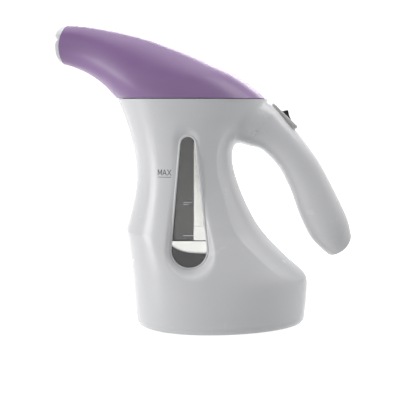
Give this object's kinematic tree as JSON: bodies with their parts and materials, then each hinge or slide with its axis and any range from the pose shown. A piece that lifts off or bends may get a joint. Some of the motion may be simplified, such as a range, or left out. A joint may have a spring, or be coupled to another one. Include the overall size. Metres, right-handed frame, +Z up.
{
  "type": "garment steamer",
  "caption": "Hand-held kettle-shaped garment steamer with a clear tank window, a twist-off steam head with an upswept spout, an open-ended handle and a rocker switch.",
  "frame": {"origin": "centre of the base on the surface the steamer stands on", "axes": "+Z up, -X towards the steam nozzle, +X towards the handle, the two housing halves meet on the XZ plane"},
  "size_m": [0.2479, 0.1046, 0.2511],
  "materials": {
    "base_grey": "fine texture",
    "body_white": "glossy white moulding",
    "cast_aluminium": "as cast",
    "clear_lens": "clear moulded window",
    "element_steel": "dull steel sheath",
    "foot_rubber": "matte rubber",
    "head_purple": "glossy lavender purple",
    "inner_black": "black phenolic",
    "inner_grey": "dark grey moulding",
    "lamp_amber": "translucent amber",
    "lead_blue": "pvc insulation",
    "lead_brown": "pvc insulation",
    "nozzle_white": "glossy white",
    "plate_grey": "satin mid grey",
    "polished_steel": "polished stainless steel",
    "rocker_black": "satin black",
    "screw_steel": "zinc plated",
    "silicone_grey": "soft silicone",
    "sleeve_white": "woven sleeve",
    "tank_smoke": "translucent grey moulding",
    "terminal_brass": "tinned brass",
    "trim_white": "glossy white"
  },
  "bodies": {
    "body": {"base_cover": "base_grey", "base_screws": "screw_steel", "boiler_dish": "polished_steel", "boiler_gasket": "silicone_grey", "clamp_screws": "screw_steel", "cord_gland": "plate_grey", "element_pins": "element_steel", "filler_deck": "trim_white", "handle_left": "body_white", "handle_right": "body_white", "heat_spreader": "cast_aluminium", "heater_carrier": "inner_grey", "heating_element": "element_steel", "housing_left": "body_white", "housing_right": "body_white", "housing_screws": "screw_steel", "indicator_lens": "lamp_amber", "live_lead": "lead_brown", "neck_gasket": "silicone_grey", "neutral_lead": "lead_blue", "rubber_feet": "foot_rubber", "switch_body": "inner_black", "switch_plate": "plate_grey", "switch_terminals": "terminal_brass", "switched_lead": "lead_brown", "tank_baffle": "inner_grey", "thermal_fuse": "sleeve_white", "thermostat": "inner_black", "water_tank": "tank_smoke", "window_left": "clear_lens", "window_right": "clear_lens", "window_trim_left": "trim_white", "window_trim_right": "trim_white"},
    "lock_ring": {"lock_ring": "inner_grey"},
    "head": {"head_cover": "head_purple", "head_plate": "trim_white", "head_screws": "screw_steel", "splash_guard": "trim_white", "nozzle_plate": "nozzle_white", "steam_duct": "inner_grey"},
    "rocker": {"switch_rocker": "rocker_black"}
  },
  "joints": [
    {"name": "head_turn", "type": "hinge", "parent": "body", "child": "lock_ring", "pos_m": [-0.031, 0, 0.178], "axis": [0, 0, 1], "range_deg": [0, 45]},
    {"name": "head_lift", "type": "slide", "parent": "lock_ring", "child": "head", "axis": [0, 0, 1], "range_m": [0, 0.06]},
    {"name": "rocker_tilt", "type": "hinge", "parent": "body", "child": "rocker", "pos_m": [0.05379, 0, 0.17532], "axis": [0, -1, 0], "range_deg": [0, 30]}
  ]
}
